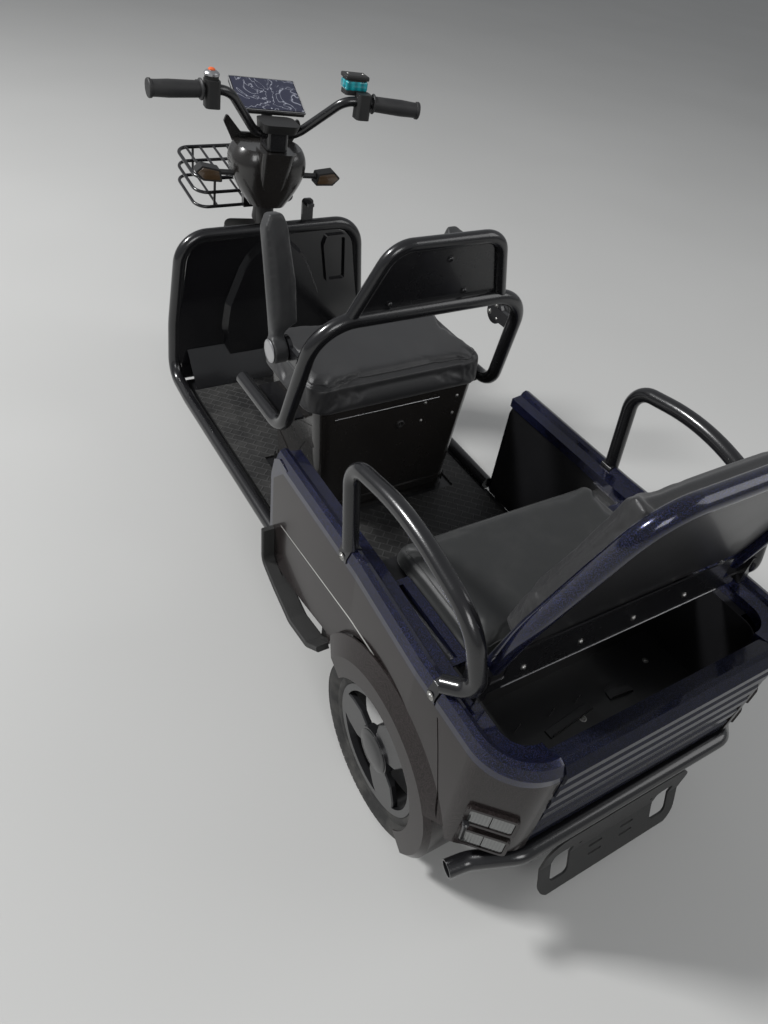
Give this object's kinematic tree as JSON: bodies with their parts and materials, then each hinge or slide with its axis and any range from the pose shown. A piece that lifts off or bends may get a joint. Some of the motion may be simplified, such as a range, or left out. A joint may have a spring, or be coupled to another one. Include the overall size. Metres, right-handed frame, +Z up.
{
  "type": "electric tricycle scooter",
  "caption": "Electric tricycle scooter with a leg shield, driver's seat with armrests, passenger bench, folding backrest, cargo tub and wire front carrier.",
  "frame": {"origin": "centre of the overall box at ground level", "axes": "+Z up, -Y forward, +X to the driver's left"},
  "size_m": [0.716, 2.119, 1.041],
  "materials": {
    "frame_black": "satin",
    "tube_black": "gloss",
    "shield_gloss": "gloss",
    "floor_board": "satin",
    "floor_rubber": "matte",
    "vinyl": "satin",
    "panel_paint": "gloss",
    "tub_plastic": "satin",
    "lamp_clear": "gloss",
    "signal_body": "gloss",
    "basket_wire": "gloss",
    "screen": "gloss",
    "grip_rubber": "matte",
    "lever_alloy": "satin",
    "tyre": "matte",
    "rim": "satin"
  },
  "bodies": {
    "chassis": {"frame": "frame_black", "rear_axle": "frame_black", "shield_loop": "tube_black", "seat_hoop": "tube_black", "grab_rails": "tube_black", "rear_bumper": "tube_black", "leg_shield": "shield_gloss", "seat_box": "shield_gloss", "floor_board": "floor_board", "floor_mats": "floor_rubber", "driver_back_pad": "vinyl", "bench_cushion": "vinyl", "side_panel_left": "panel_paint", "side_panel_right": "panel_paint", "top_rails": "panel_paint", "rear_rim": "panel_paint", "rear_panel": "panel_paint", "inner_tub": "tub_plastic", "plate_board": "tub_plastic", "side_steps": "tub_plastic", "tail_lamps": "lamp_clear", "front_basket": "basket_wire"},
    "steering": {"fork": "frame_black", "handlebar": "tube_black", "stem_cap": "tub_plastic", "headlamp_shell": "tub_plastic", "headlamp_lens": "lamp_clear", "display": "screen", "grips": "grip_rubber", "bar_controls": "tub_plastic", "brake_levers": "lever_alloy", "turn_signals": "signal_body", "front_fender": "tub_plastic"},
    "front_wheel": {"front_tyre": "tyre", "front_rim": "rim"},
    "rear_left_wheel": {"rear_left_tyre": "tyre", "rear_left_rim": "rim"},
    "rear_right_wheel": {"rear_right_tyre": "tyre", "rear_right_rim": "rim"},
    "seat_lid": {"driver_seat": "vinyl"},
    "left_arm": {"arm_left": "vinyl"},
    "right_arm": {"arm_right": "vinyl"},
    "rear_backrest": {"backrest_frame": "panel_paint", "backrest_plate": "tub_plastic", "backrest_pad": "vinyl"}
  },
  "joints": [
    {"name": "steer", "type": "hinge", "parent": "chassis", "child": "steering", "pos_m": [0, -0.5445, 0.897], "axis": [0, 0.3746, 0.9272], "range_deg": [-37, 53]},
    {"name": "front_wheel_spin", "type": "hinge", "parent": "steering", "child": "front_wheel", "pos_m": [-0.00395, -0.86224, 0.18561], "axis": [0.9903, -0.129, 0.0521], "continuous": true},
    {"name": "rear_left_wheel_spin", "type": "hinge", "parent": "chassis", "child": "rear_left_wheel", "pos_m": [0.3135, 0.7175, 0.185], "axis": [1, 0, 0], "continuous": true},
    {"name": "rear_right_wheel_spin", "type": "hinge", "parent": "chassis", "child": "rear_right_wheel", "pos_m": [-0.3135, 0.7175, 0.185], "axis": [1, 0, 0], "continuous": true},
    {"name": "seat_lid_hinge", "type": "hinge", "parent": "chassis", "child": "seat_lid", "pos_m": [0, -0.1285, 0.539], "axis": [1, 0, 0], "range_deg": [0, 70]},
    {"name": "left_arm_pivot", "type": "hinge", "parent": "chassis", "child": "left_arm", "pos_m": [0.28, 0.1025, 0.691], "axis": [-1, 0, 0], "range_deg": [-62, 0]},
    {"name": "right_arm_pivot", "type": "hinge", "parent": "chassis", "child": "right_arm", "pos_m": [-0.28, 0.1025, 0.691], "axis": [-1, 0, 0], "range_deg": [-9, 53]},
    {"name": "backrest_fold", "type": "hinge", "parent": "chassis", "child": "rear_backrest", "pos_m": [0, 0.8555, 0.585], "axis": [1, 0, 0], "range_deg": [0, 100]}
  ]
}
